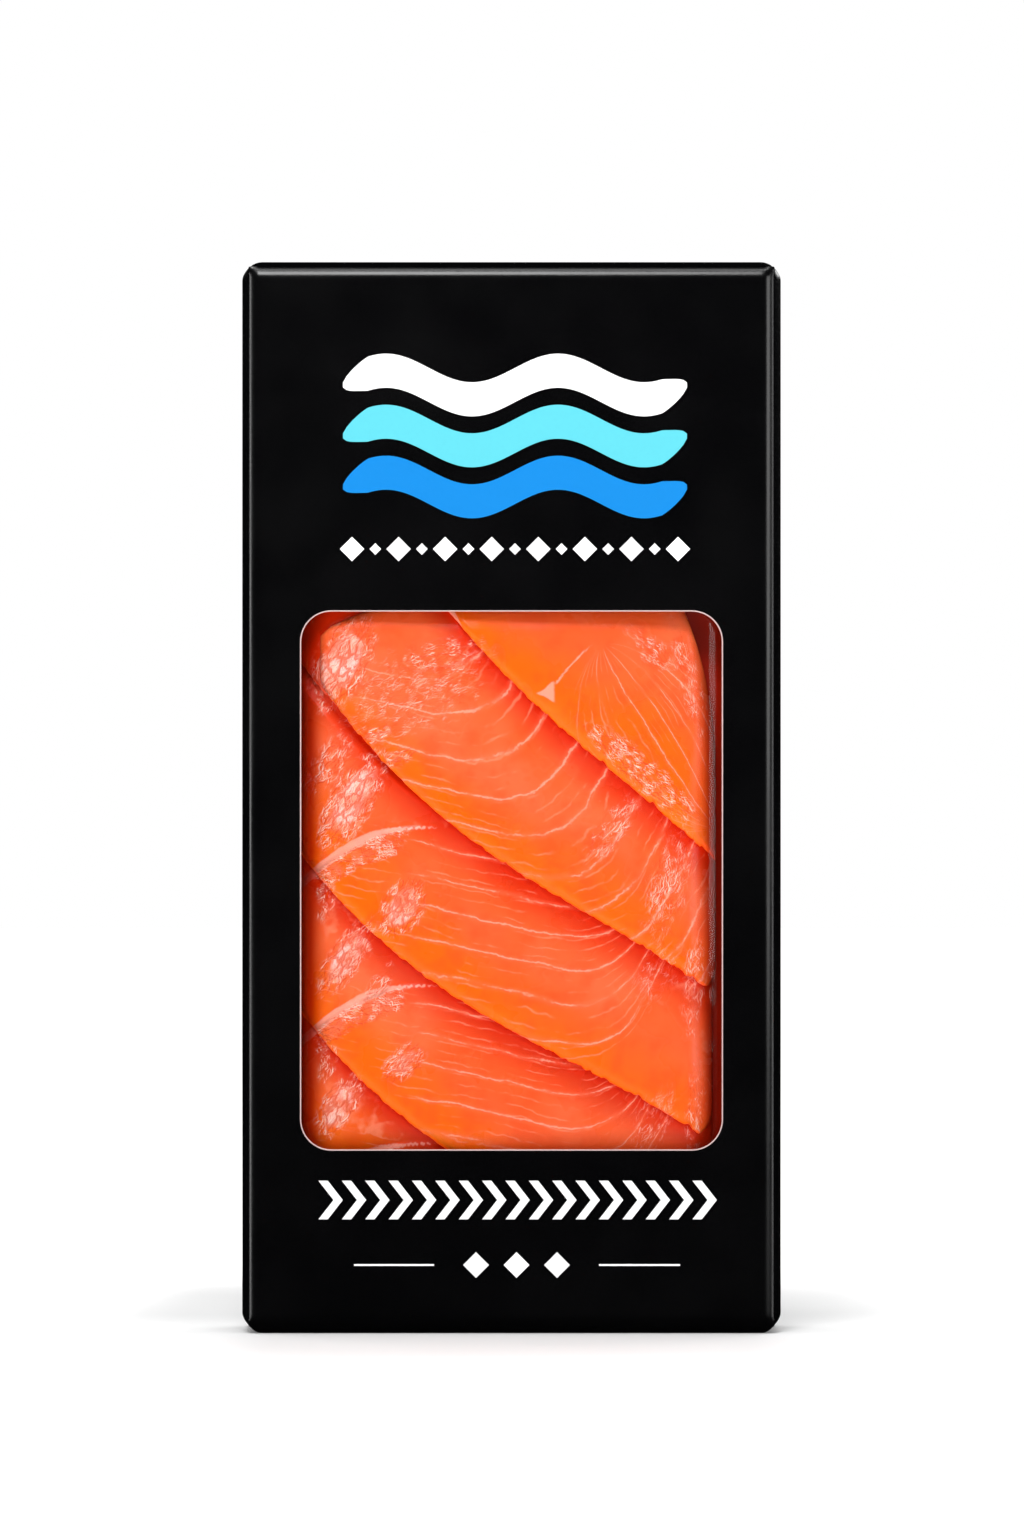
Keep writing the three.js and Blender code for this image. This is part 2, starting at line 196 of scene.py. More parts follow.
class Finish:
    """A material that is being put together."""

    def __init__(self, name):
        self.material = bpy.data.materials.new(name)
        self.material.use_nodes = True
        self.material.cycles.emission_sampling = "NONE"  # no finish is bright enough to be a lamp
        self.tree = self.material.node_tree
        self.tree.nodes.clear()

    def node(self, kind, settings=None, inputs=None, output=0):
        made = self.tree.nodes.new("ShaderNode" + kind)
        for key, value in (settings or {}).items():
            setattr(made, key, value)
        for key, value in (inputs or {}).items():
            socket = made.inputs[key]
            if isinstance(value, Signal):
                self.tree.links.new(value.socket, socket)
            else:
                socket.default_value = value
        return Signal(self, made.outputs[output]) if made.outputs else None

    def objects_place(self):
        return self.node("TexCoord", output="Object")

    def axis(self, place, name):
        """One of the three parts, X, Y or Z, of a place."""
        return self.node("SeparateXYZ", None, {"Vector": place}, name)

    def measure(self, name):
        return self.node("Attribute", {"attribute_name": name}, output="Fac")

    def noise(self, place, scale, detail=2.0, roughness=0.5, distortion=0.0):
        inputs = {"Vector": place, "Scale": scale, "Detail": detail, "Roughness": roughness}
        return self.node("TexNoise", None, {**inputs, "Distortion": distortion}, "Fac")

    def step(self, value, low, high, to_low=0.0, to_high=1.0):
        """Eases from to_low where the value is low to to_high where it is high."""
        ends = {"From Min": low, "From Max": high, "To Min": to_low, "To Max": to_high}
        easing = {"interpolation_type": "SMOOTHSTEP"}
        return self.node("MapRange", easing, {"Value": value, **ends}, "Result")

    def fade(self, value, low, high):
        """Eases from 1 where the value is low to 0 where it is high."""
        return self.step(value, low, high, 1.0, 0.0)

    def blend(self, factor, first, second):
        """Colour that turns from the first to the second."""
        inputs = {"Factor": factor, "A": first, "B": second}
        return self.node("Mix", {"data_type": "RGBA"}, inputs, "Result")

    def bump(self, height, distance, strength):
        inputs = {"Height": height, "Distance": distance, "Strength": strength}
        return self.node("Bump", None, inputs, "Normal")

    def done(self, shader):
        self.node("OutputMaterial", None, {"Surface": shader})
        return self.material

    def surface(self, inputs):
        """Ends the material with one Principled shader that has these inputs."""
        return self.done(self.node("BsdfPrincipled", None, inputs))


def colour(red, green, blue):
    """A colour given as it looks on screen, from 0 to 255, as light that adds up."""
    parts = [
        c / 12.92 if c <= 0.04045 else ((c + 0.055) / 1.055) ** 2.4
        for c in (red / 255, green / 255, blue / 255)
    ]
    return (*parts, 1.0)


# %% [markdown]
# ## Floor finish
# The floor is matt white card with a very slight mottling. Just before the pack and behind it the
# card gets a painted soft shadow. It glows a little further out, where the picture is pure white,
# so the weaker glow near the pack deepens that painted shade.

# %% Floor finish
card = Finish("white_card")
card_place = card.objects_place()
card_tone = card.blend(card.noise(card_place, 9.0), colour(246, 246, 246), colour(250, 250, 250))
card_x = card.axis(card_place, "X")
card_y = card.axis(card_place, "Y")
# Painted shadow: darker card just before the pack and behind it, where the pack would shade it.
painted_shadow_in_front = card.step(card_y, -0.26, -0.02) * card.fade(card_y, 0.0, 0.02)
painted_shadow_in_front = painted_shadow_in_front * card.fade(card_x * card_x, 0.004, 0.0075)
card_tone = card.blend(painted_shadow_in_front, card_tone, colour(226, 226, 226))
painted_shadow_behind = card.step(card_y, 0.0, 0.07) * card.fade(card_y, 0.14, 0.32)
painted_shadow_behind = painted_shadow_behind * card.fade(card_x * card_x, 0.008, 0.016)
painted_shadow_behind = painted_shadow_behind * card.step(card_x, -0.07, 0.08, 1.0, 0.5)
card_tone = card.blend(painted_shadow_behind, card_tone, colour(228, 228, 228))
# The glow is weaker near the pack, which adds painted shade round its base.
from_pack = card.node("VectorMath", {"operation": "LENGTH"}, {0: card_place}, "Value")
card_glow = card.step(from_pack, 0.09, 0.31) * (1 - painted_shadow_behind)
white_card = card.surface(
    {
        "Base Color": card_tone,
        "Roughness": 0.5,
        "Specular IOR Level": 0.05,
        "Emission Color": card.blend(card_glow, (0.1, 0.1, 0.1, 1), (0.6, 0.6, 0.6, 1)),
        "Emission Strength": 1.0,
    }
)
floor.data.materials.append(white_card)

# %% [markdown]
# ## Working on a mesh by hand
# Every new piece starts as a primitive and is shaped in edit mode. The small helpers here do what
# the mouse would: deselect all, open a piece for editing, pick faces or edges by a rule, and
# apply a modifier. The last one gives a finished piece its material and its body, and hides the
# solids that it stands for.


# %% Helpers for modelling
def deselect():
    bpy.ops.object.select_all(action="DESELECT")


def take(piece):
    """Makes a piece the only selected one."""
    deselect()
    piece.select_set(True)
    bpy.context.view_layer.objects.active = piece


def new_box(name, low, high):
    """A box between two corners, in millimetres, with its place in its mesh."""
    deselect()
    middle = [(a + b) / 2 * MM for a, b in zip(low, high)]
    size = [(b - a) * MM for a, b in zip(low, high)]
    bpy.ops.mesh.primitive_cube_add(size=1, location=middle, scale=size)
    bpy.ops.object.transform_apply()
    bpy.context.object.name = name
    return bpy.context.object


def new_grid(name, columns, rows):
    """A flat grid of faces over a unit square round the origin."""
    deselect()
    bpy.ops.mesh.primitive_grid_add(x_subdivisions=columns, y_subdivisions=rows, size=1)
    bpy.context.object.name = name
    return bpy.context.object


def edit(piece):
    take(piece)
    bpy.ops.object.mode_set(mode="EDIT")
    bpy.ops.mesh.select_mode(type="VERT")
    bpy.ops.mesh.select_all(action="DESELECT")


def stop_editing():
    bpy.ops.object.mode_set(mode="OBJECT")


def pick(piece, kind, rule):
    """Selects, in edit mode, the faces or edges that a rule accepts."""
    bpy.ops.mesh.select_mode(type=kind)
    bpy.ops.mesh.select_all(action="DESELECT")
    shape = bmesh.from_edit_mesh(piece.data)
    for item in shape.faces if kind == "FACE" else shape.edges:
        if rule(item):
            item.select_set(True)
    bmesh.update_edit_mesh(piece.data)


def modify(piece, kind, **settings):
    """Adds a modifier and applies it."""
    take(piece)
    modifier = piece.modifiers.new(kind.lower(), kind)
    for key, value in settings.items():
        setattr(modifier, key, value)
    bpy.ops.object.modifier_apply(modifier=modifier.name)


def places(piece):
    """Places of a piece's vertices, in millimetres, one row each."""
    flat = np.empty(len(piece.data.vertices) * 3)
    piece.data.vertices.foreach_get("co", flat)
    return flat.reshape(-1, 3) / MM


def move_to(piece, points):
    """Moves a piece's vertices to places in millimetres."""
    piece.data.vertices.foreach_set("co", (np.asarray(points) * MM).ravel())
    piece.data.update()


def smooth(piece, degrees=35):
    take(piece)
    bpy.ops.object.shade_smooth_by_angle(angle=math.radians(degrees))


def hand_over(piece, slot, finish, *nodes):
    """Gives a finished piece its material and its body, and hides the solids that it stands for.
    """
    piece.data.materials.clear()
    piece.data.materials.append(finish)
    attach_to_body(piece, "root")
    if nodes:
        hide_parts(*nodes)
    print(piece.name, "has", len(piece.data.polygons), "faces")


# %% [markdown]
# ## The carton
# A folding carton is one sheet of board. The fish inside presses its panels out, so each panel
# rolls away from its straight creases and is flat in its middle. We start from a box between the
# creases, cut it across near every crease by bisecting, and then push each vertex out by how far
# it is from the creases round its panel. A Solidify modifier gives the board its thickness.

# %% Carton sizes
BOARD = 0.6
FACE_SWELL, SIDE_SWELL, TOP_SWELL, BASE_SWELL = 1.2, 2.0, 1.5, 2.0
FACE_ROLL, SIDE_ROLL, END_ROLL, BASE_ROLL = 3.2, 6.0, 3.6, 4.0
HALF_WIDTH = solid_high.x / MM - SIDE_SWELL
HALF_DEPTH = solid_high.y / MM - FACE_SWELL
LOW = BASE_SWELL
HIGH = solid_high.z / MM - TOP_SWELL


def swell(distance, reach):
    """0 at a crease and 1 at the reach from it and beyond."""
    left = 1 - np.clip(distance / reach, 0, 1)
    return 1 - left * left


def puffed(points, inwards=0.0):
    """Pushes points on the crease box out as the filled panels are."""
    x, y, z = points.T
    to_x = HALF_WIDTH - np.abs(x)
    to_y = HALF_DEPTH - np.abs(y)
    to_z = np.minimum(z - LOW, HIGH - z)
    on_x, on_y, on_z = to_x < 0.01, to_y < 0.01, to_z < 0.01
    across_face = swell(to_x, FACE_ROLL) * swell(to_z, FACE_ROLL)
    across_side = swell(to_y, SIDE_ROLL) * swell(to_z, END_ROLL)
    across_top = swell(to_x, END_ROLL) * swell(to_y, SIDE_ROLL)
    across_base = swell(to_x, END_ROLL) * swell(to_y, BASE_ROLL)
    moved = points.copy()
    moved[:, 0] += np.where(on_x, np.sign(x) * SIDE_SWELL * across_side, 0)
    moved[:, 1] += np.where(on_y, np.sign(y) * FACE_SWELL * across_face, 0)
    moved[:, 2] += np.where(on_z & (z > HIGH / 2), TOP_SWELL * across_top, 0)
    moved[:, 2] -= np.where(on_z & (z < HIGH / 2), BASE_SWELL * across_base, 0)
    return moved


def cut_across(axis, offsets):
    """Bisects what is selected, in edit mode, with planes across one axis."""
    normal = [float(axis == i) for i in range(3)]
    for offset in offsets:
        bpy.ops.mesh.select_all(action="SELECT")
        place = [offset * MM * n for n in normal]
        bpy.ops.mesh.bisect(plane_co=place, plane_no=normal)


def both_ends(low, high, steps):
    return [low + s for s in steps] + [high - s for s in steps]


# %% Carton
carton = new_box("carton_board", (-HALF_WIDTH, -HALF_DEPTH, LOW), (HALF_WIDTH, HALF_DEPTH, HIGH))
NEAR_CREASE = [0.35, 0.75, 1.2, 1.7, 2.3, 2.9, 3.6, 4.4, 6.0]
edit(carton)
cut_across(0, both_ends(-HALF_WIDTH, HALF_WIDTH, NEAR_CREASE) + [-45, -15, 15, 45])
cut_across(1, both_ends(-HALF_DEPTH, HALF_DEPTH, NEAR_CREASE + [9.0]))
cut_across(2, both_ends(LOW, HIGH, NEAR_CREASE) + [100, 200])
stop_editing()
move_to(carton, puffed(places(carton)))

# %% [markdown]
# ## The window
# The window is punched through the front panel with a round-cornered tool. We model the tool as a
# box whose four upright corners are bevelled, and take it away from the board with a Boolean. The
# same rounded outline, as a thin ring, is the pale cut edge of the board that shows round the
# window.

# %% Window
WINDOW_WIDTH, WINDOW_HEIGHT, WINDOW_RADIUS, WINDOW_BASE = 117.6, 150.4, 8.4, 51.6
WINDOW_MIDDLE = WINDOW_BASE + WINDOW_HEIGHT / 2
CUT_EDGE = 0.38
PANEL = -(HALF_DEPTH + FACE_SWELL)


def rounded_tool(name, grow, front, back):
    """A box through the front panel, with the window's outline grown by some millimetres."""
    half_width = WINDOW_WIDTH / 2 + grow
    half_height = WINDOW_HEIGHT / 2 + grow
    tool = new_box(
        name,
        (-half_width, front, WINDOW_MIDDLE - half_height),
        (half_width, back, WINDOW_MIDDLE + half_height),
    )
    edit(tool)
    pick(
        tool,
        "EDGE",
        lambda e: abs(e.verts[0].co.y - e.verts[1].co.y) > MM / 2
        and abs(e.verts[0].co.x - e.verts[1].co.x) < MM / 9,
    )
    bpy.ops.mesh.bevel(
        offset=(WINDOW_RADIUS + grow) * MM, segments=14, affect="EDGES", profile=0.5
    )
    stop_editing()
    return tool


modify(carton, "SOLIDIFY", thickness=BOARD * MM, offset=-1.0, use_even_offset=True)
punch = rounded_tool("punch", CUT_EDGE, PANEL - 2, PANEL + 3)
modify(carton, "BOOLEAN", operation="DIFFERENCE", object=punch, solver="EXACT")
bpy.data.objects.remove(punch)
smooth(carton, 30)

edge_ring = rounded_tool("window_cut_edge", 0.0, PANEL + 0.02, PANEL + BOARD)
edit(edge_ring)
pick(edge_ring, "FACE", lambda f: abs(f.normal.y) > 0.9)
bpy.ops.mesh.delete(type="FACE")
stop_editing()
modify(edge_ring, "SOLIDIFY", thickness=CUT_EDGE * MM, offset=1.0, use_even_offset=True)
edit(edge_ring)
pick(
    edge_ring,
    "EDGE",
    lambda e: all(v.co.y < (PANEL + 0.1) * MM for v in e.verts)
    and len(e.link_faces) == 2
    and e.calc_face_angle() > 0.8,
)
bpy.ops.mesh.bevel(offset=0.12 * MM, segments=3, affect="EDGES", profile=0.5)
stop_editing()
smooth(edge_ring, 50)

# %% [markdown]
# ## End flaps
# The top and the base are closed by an outer flap that is hinged at the front crease and glued
# down just short of the back one. Its cut edge is what a real carton shows from behind. Each flap
# is a copy of a strip of the puffed end, laid on the board and given its own thickness.

# %% End flaps
FLAP = 0.35
FLAP_SHORT = 1.6


def end_flap(name, on_top):
    """A thin flap that follows the puffed top or base."""
    level = HIGH if on_top else LOW
    flap = new_box(
        name,
        (-HALF_WIDTH + 0.8, -HALF_DEPTH + 0.4, level - 1),
        (HALF_WIDTH - 0.8, HALF_DEPTH - FLAP_SHORT, level),
    )
    edit(flap)
    pick(flap, "FACE", lambda f: f.normal.z < 0.5)
    bpy.ops.mesh.delete(type="FACE")
    cut_across(0, both_ends(-HALF_WIDTH, HALF_WIDTH, NEAR_CREASE[2:]))
    cut_across(1, both_ends(-HALF_DEPTH, HALF_DEPTH, NEAR_CREASE[2:]))
    stop_editing()
    across = places(flap)
    across[:, 2] = level
    lifted = puffed(across)
    lifted[:, 2] += FLAP / 3 if on_top else -FLAP / 3
    move_to(flap, lifted)
    if not on_top:
        edit(flap)
        bpy.ops.mesh.select_all(action="SELECT")
        bpy.ops.mesh.flip_normals()
        stop_editing()
    modify(flap, "SOLIDIFY", thickness=FLAP * MM, offset=-1.0)
    smooth(flap, 30)
    return flap


flaps = [end_flap("top_flap", True), end_flap("base_flap", False)]

# %% [markdown]
# ## Board finish
# The board is black with a satin laminate, which is glossier in some places than in others. Close
# up it has the faint grain of embossed paper. Where the board is cut, its pale core shows.


# %% Board finish
def board_finish():
    board = Finish("black_board")
    place = board.objects_place()
    mottle = board.noise(place, 60.0, 3.0)
    tone = board.blend(mottle, colour(2, 2, 3), colour(5, 5, 6))
    grain = board.noise(place, 900.0, 3.0, 0.6, 0.4)
    cells = {"Vector": place, "Scale": 1100.0, "Smoothness": 0.6}
    pores = board.node("TexVoronoi", {"feature": "SMOOTH_F1"}, cells, "Distance")
    relief = grain + pores * 0.6
    shine = board.step(board.noise(place, 30.0, 4.0), 0.3, 0.7, 0.2, 0.26)
    return board.surface(
        {
            "Base Color": tone,
            "Roughness": shine,
            "Specular IOR Level": 0.4,
            "Normal": board.bump(relief, 0.02 * MM, 0.25),
        }
    )


def core_finish():
    core = Finish("board_core")
    fibres = core.noise(core.objects_place(), 1500.0, 4.0)
    tone = core.blend(fibres, colour(186, 160, 158), colour(216, 186, 184))
    return core.surface(
        {
            "Base Color": tone,
            "Roughness": 0.55,
            "Normal": core.bump(fibres, 0.04 * MM, 0.5),
        }
    )


black_board = board_finish()
board_core = core_finish()
hand_over(carton, "carton_board", black_board, "carton")
hand_over(edge_ring, "carton_board", board_core)
for flap in flaps:
    hand_over(flap, "carton_board", black_board)
    flap.data.materials.append(board_core)
    for face in flap.data.polygons:
        if face.normal.y > 0.7:
            face.material_index = 1

# %% [markdown]
# ## The slices
# The slices overlap like roof tiles that slope down to the right. Each is a thin slab with a
# curved lower edge, and it lies on the one below it. A slab starts as a flat grid, gets its
# thickness, and is then bent by formulas: one for its lower edge, and one for how deep each point
# lies behind the film.

# %% Slice sizes
CLEARANCE = 0.3
FILM = 0.2
SLICE, SLICE_GAP, SHORT_SLICE = 2.6, 0.7, 1.5
LAYER = SLICE + SLICE_GAP
SLICE_ROUND = 3.0
FILM_FRONT = PANEL + BOARD + CLEARANCE
SLICE_FRONT = FILM_FRONT + FILM + CLEARANCE
EDGE_REACH, PITCH, TUCK = 55.0, 44.3, 18.0
SIDE_FLAT, SIDE_FALL, SIDE_RUN = 49.0, 4.2, 8.5
END_FLAT, END_FALL, END_RUN = 69.0, 1.6, 9.0


def edge_line(middle, fall, lift, swing):
    """Height of a slice's lower edge over x."""

    def height(x):
        s = x / EDGE_REACH
        return middle - fall * s + lift * s**2 - swing * s**3

    return height


def lowered(rows):
    """Lower edge of the middle slice, moved down by a number of rows."""
    return edge_line(84.7 - rows * PITCH, 30.3, 6.8, 7.2)


EDGES = [edge_line(182.6, 55.1, 15.9, 9.1), edge_line(130.3, 36.0, 9.8, 7.8)]
EDGES += [lowered(rows) for rows in range(3)]


def shingle(x, z):
    """Counts the lower edges above a point, growing steadily from one to the next."""
    heights = np.stack([edge(x) for edge in EDGES])
    below = np.clip((z < heights).sum(axis=0), 1, len(EDGES) - 1)
    rows = np.arange(x.size)
    lower, upper = heights[below, rows], heights[below - 1, rows]
    return below - (z - lower) / (upper - lower)


def ease(value):
    t = np.clip(value, 0, 1)
    return t * t * (3 - 2 * t)


def fall_back(x, z):
    """How far the heap falls back from the film towards the window's sides and ends."""
    side = np.clip((np.abs(x) - SIDE_FLAT) / SIDE_RUN, 0, 1.2)
    end = ease((np.abs(z - WINDOW_MIDDLE) - END_FLAT) / END_RUN)
    return SIDE_FALL * side**2 + END_FALL * end


# %% [markdown]
# ### Bumps, folds and rumples
# Pressed fish is never flat. Here are the larger rumples, each an oval given by where it appears
# in the picture, its half-sizes in millimetres, how far it leans, how far it stands out, and how
# strongly the clinging film is crinkled over it. At the left, each slice is folded over itself
# along a pale line of fat, and the flesh above that line lies lower.

# %% Relief
RUMPLES = [
    # column, row, half length, half width, lean in degrees, height, crinkling
    (340, 664, 15, 8, 60, 1.0, 1.0),
    (375, 735, 5, 2.4, 24, 0.5, 0.8),
    (400, 757, 5.5, 2.4, 24, 0.5, 0.75),
    (440, 655, 16, 5, 12, 0.3, 0.5),
    (326, 765, 11, 5, 52, 0.6, 0.65),
    (352, 800, 16, 6.5, 58, 1.1, 1.0),
    (403, 907, 9.5, 6, 60, 0.8, 1.0),
    (346, 958, 13, 5, 56, 1.0, 1.0),
    (380, 984, 8, 3, 56, 0.4, 0.5),
    (404, 1063, 7.5, 4.5, 40, 0.7, 0.85),
    (338, 1107, 11, 5, 56, 0.9, 1.0),
    (642, 772, 22, 5, -42, 0.8, 0.7),
    (693, 690, 24, 4, -74, 0.7, 0.38),
    (652, 650, 12, 5, -40, 0.4, 0.36),
    (668, 885, 20, 7, 74, 0.5, 0.42),
    (612, 830, 15, 6, 52, 0.4, 0.4),
    (694, 985, 18, 4, 88, 0.4, 0.4),
    (696, 1110, 16, 4, 88, 0.4, 0.4),
    (325, 905, 7, 3, 70, 0.4, 0.55),
    (327, 1065, 7, 3, 70, 0.4, 0.55),
    (415, 690, 30, 15, 24, 0.0, 0.34),
    (655, 975, 14, 8, 60, 0.0, 0.3),
    (655, 1120, 14, 8, 60, 0.0, 0.3),
    (380, 1180, 12, 6, 50, 0.0, 0.36),
    (560, 690, 10, 5, -40, 0.6, 0.0),
    (640, 900, 22, 10, -35, 0.4, 0.0),
    (520, 800, 26, 10, -35, 0.5, 0.0),
    (560, 1010, 26, 9, -28, 0.5, 0.0),
    (655, 1040, 12, 8, 50, 0.5, 0.0),
]
PRESSED_IN = 1.0  # how far the flesh lies behind the film between its bumps
FOLD_DROP = 1.3
FOLD_MIDDLE, FOLD_TOP, FOLD_BEND = -24.0, 141.4, 0.0135


def turned(x, z, column, row, lean):
    """Place measured from a point of the picture, along a leaning line and across it."""
    centre_x, centre_z = seen_at(column, row)
    turn = math.radians(lean)
    along = (x - centre_x) * math.cos(turn) + (z - centre_z) * math.sin(turn)
    aside = (z - centre_z) * math.cos(turn) - (x - centre_x) * math.sin(turn)
    return along, aside


def oval(x, z, column, row, long, wide, lean):
    """1 in the middle of an oval, falling to 0 beyond its edge."""
    along, aside = turned(x, z, column, row, lean)
    return np.exp(-1.2 * ((along / long) ** 2 + (aside / wide) ** 2))


def above_fold(x, z, rows):
    """Height above the pale fold in the lower slices, which repeats down the pack."""
    return z + rows * PITCH - FOLD_TOP + FOLD_BEND * (x - FOLD_MIDDLE) ** 2


def folded(x, z):
    """Drop of the flesh just above each fold."""
    fade = ease((-17 - x) / 16)
    drop = np.zeros_like(x)
    for rows in range(3):
        above = above_fold(x, z, rows)
        drop = np.maximum(drop, ease(above / 0.9) * np.exp(-np.clip(above, 0, 99) / 9))
    return FOLD_DROP * fade * drop


def relief(x, z):
    """How far the flesh lies behind the film, from its bumps, folds and rumples."""
    raised = sum(h * oval(x, z, c, r, a, b, lean) for c, r, a, b, lean, h, _ in RUMPLES)
    sway = 0.18 * np.sin(x / 5.3 + z / 9.1 + 1.3) * np.sin(z / 6.7 - x / 11.0)
    return np.clip(PRESSED_IN - raised + sway, 0, 2) + folded(x, z)


def crinkles(x, z):
    """How crinkled the film is, and each point's place along and across its own rumple."""
    strength = np.zeros_like(x)
    place = np.zeros((x.size, 3))
    for number, (column, row, long, wide, lean, _, crinkled) in enumerate(RUMPLES):
        along, aside = turned(x, z, column, row, lean)
        here = crinkled * (1 - ease(np.hypot(along / long, aside / wide) - 0.35))
        nearest = here > strength
        strength = np.where(nearest, here, strength)
        place[nearest] = np.stack([along, aside, 0 * x + 50 * number], axis=1)[nearest]
    for rows in range(3):
        above = above_fold(x, z, rows)
        under = ease((above + 8) / 3) * ease(0.6 - above / 2) * ease((-26 - x) / 9)
        here = 0.75 * under * ease((x + 57) / 4)
        nearest = here > strength
        strength = np.where(nearest, here, strength)
        place[nearest] = np.stack([x - above, above + x / 2, 0 * x - 50], axis=1)[nearest]
    return strength, place


def fold_fat(x, z):
    """The band of pale fat along each fold, thick at the left and thin where it ends."""
    band = np.zeros_like(x)
    for rows in range(3):
        above = above_fold(x, z, rows)
        thick = 0.5 + 1.9 * ease((-26 - x) / 16)
        inside = 1 - ease((np.abs(above - thick / 3) / thick - 0.35) / 0.6)
        band = np.maximum(band, inside * ease((-17 - x) / 9))
    return band


# %% [markdown]
# ### Fat lines
# Salmon is marked by thin pale seams between its muscles. In a slice they run in nested curves.
# For each slice a level is worked out whose contour lines have that shape, as on a map. The
# levels at which the seams lie are then numbered 1, 2, 3, and that number is stored on the mesh
# as an attribute, so that the material can draw a line wherever it is whole.

# %% Fat lines
SAG = 0.22  # slope at which the seams run down to the right
LOWER_TURN = (13.0, 0.0, 25.0)  # where the seams turn upwards, how that drifts, and the radius
UPPER_TURN = (102.3, -0.75, 27.0)
STAR = (605, 648, -58)  # column and row where the top slice's seams spring from, and their lean
STAR_REACH = 60.0
WEDGE = (528, 694, 4)
WEDGE_LINE = (556, 684, 56)


def turning_up(past, radius):
    """Rise and slope of a seam that turns upwards on a circle and then runs straight."""
    bent = np.clip(past, 0, 0.9 * radius)
    left = np.sqrt(radius**2 - bent**2)
    slope = bent / left
    return radius - left + slope * np.clip(past - 0.9 * radius, 0, None), slope


def sagging(x, z, turn, rows=0):
    """Level of seams that run down to the right and then turn upwards, found in a few guesses."""
    start, drift, radius = turn
    height = z + rows * PITCH + SAG * x
    level = height.copy()
    for _ in range(8):
        rise, slope = turning_up(x - start - drift * level, radius)
        level -= (level + rise - height) / (1 - drift * slope)
    return level


def fanning(x, z):
    """Level of the top slice's seams, which spread from one point and close again."""
    along, aside = turned(x, z, *STAR)
    gone = np.clip(along + 1, 0, STAR_REACH) / STAR_REACH
    bow = np.clip(np.sin(np.pi * gone), 0.02, 1) ** 0.6
    return aside / bow


def numbered(level, seams):
    """Counts seams, growing steadily from the level of one to the level of the next."""
    steps = np.interp(level, seams, np.arange(len(seams)))
    beyond = np.clip(level - seams[-1], 0, 99) - np.clip(seams[0] - level, 0, 99)
    return steps + np.clip(beyond / 8, -0.5, 0.5)


LOWER_SEAMS = [84, 96, 105.1, 114.3, 122.5, 131.5]
UPPER_SEAMS = [97, 105, 113, 121, 129.4, 139.3, 148.4, 157.7, 168.5, 177]
TOP_SEAMS = [-22, -11, -1.9, 3.1, 8.0, 14.0]


def lower_seams(rows):
    return lambda x, z: numbered(sagging(x, z, LOWER_TURN, rows), LOWER_SEAMS)


SEAMS = {
    "slice_top_right": lambda x, z: numbered(fanning(x, z), TOP_SEAMS),
    "slice_upper": lambda x, z: numbered(sagging(x, z, UPPER_TURN), UPPER_SEAMS),
    "slice_short": lambda x, z: 0 * x + 0.5,
    "slice_middle": lower_seams(0),
    "slice_lower": lower_seams(1),
    "slice_bottom": lower_seams(2),
}


def seams_shown(name, x, z):
    """Seams fade out at the left, where the slices are folded and rumpled."""
    if name == "slice_top_right":
        along, aside = turned(x, z, *STAR)
        return ease((along + 1) / 3) * (0.3 + 0.7 * ease((aside + 6) / 3))
    if name == "slice_upper":
        return ease((x + 47) / 12)
    return ease((x + 30) / 7)


def fat_wedge(x, z):
    """A wedge of fat at the top slice's edge, and the line that runs up from it."""
    along, aside = turned(x, z, *WEDGE)
    wedge = ease((0.4 + 0.07 * along**2 - np.abs(aside)) / 1.5) * ease((8.6 - along) / 2.4)
    along, aside = turned(x, z, *WEDGE_LINE)
    line = ease((0.7 - np.abs(aside + 0.01 * along**2)) / 0.6) * ease((19 - along) / 9)
    return np.maximum(wedge, 0.8 * line * ease((along + 1) / 2))


# %% [markdown]
# ### Shaping a slice
# The grid's points are drawn together towards its borders, where the slab curves most. Its two
# faces meet in a round edge, so the slab has no side walls. The lower edge gets small nicks, as a
# knife leaves them in cold fish.

# %% Slices
COLUMNS, ROWS = 250, 110
NICKS = [(0.20, 2.9, 0.4), (0.17, 1.37, 2.1), (0.15, 0.83, 4.4), (0.10, 0.47, 1.1)]


def gathered(t):
    """Draws even steps together at both ends."""
    return t - 0.11 * np.sin(2 * np.pi * t)


def nicked(x, seed):
    """How far a lower edge is nicked and torn, more so at its right."""
    wave = sum(a * np.sin(x / w * 2 * np.pi * 0.37 + p + seed) for a, w, p in NICKS)
    tears = np.clip(np.sin(x / 1.1 + 5 * seed) * np.sin(x / 2.3 + seed), 0.55, 1) - 0.55
    return wave * (0.65 + 0.35 * np.sin(x / 7.3 + seed)) + 2.0 * tears * ease((x + 5) / 45)


def rounded_end(x, turn, reach, top):
    """An end that turns in over its last stretch before the slice's lower and upper edges."""

    def end(w):
        near = 1 - np.clip(np.minimum(w, top - w) / reach, 0, 1)
        return x - turn * near**2

    return end


LONG = 78.0
HIDDEN_TOP = WINDOW_BASE + WINDOW_HEIGHT + 8
SHORT_RISE = 53.5
SHORT_EDGE = lowered(-SHORT_RISE / PITCH)
SHORT_RIGHT = -34.0
PRESS_MARGIN = 2.0
SLICE_LEFT, UPPER_LEFT = -61.0, -53.6
UPPER_DROP, UPPER_DROP_START = 13.5, -12.0


def pressed_down(x, z):
    """Extra depth of the lower slices under the tucked end of the short one."""
    across = np.clip((SHORT_RIGHT + PRESS_MARGIN + 10 - x) / 10, 0, 1)
    up = np.clip((z - SHORT_EDGE(x) + PRESS_MARGIN + 4) / 4, 0, 1)
    return (SHORT_SLICE + SLICE_GAP) * across * up


def upper_top(x):
    """The upper slice's top, which drops to a rounded corner at its left end."""
    across = np.clip((UPPER_DROP_START - x) / (UPPER_DROP_START - UPPER_LEFT), 0, 1)
    return HIDDEN_TOP - UPPER_DROP * across**1.5


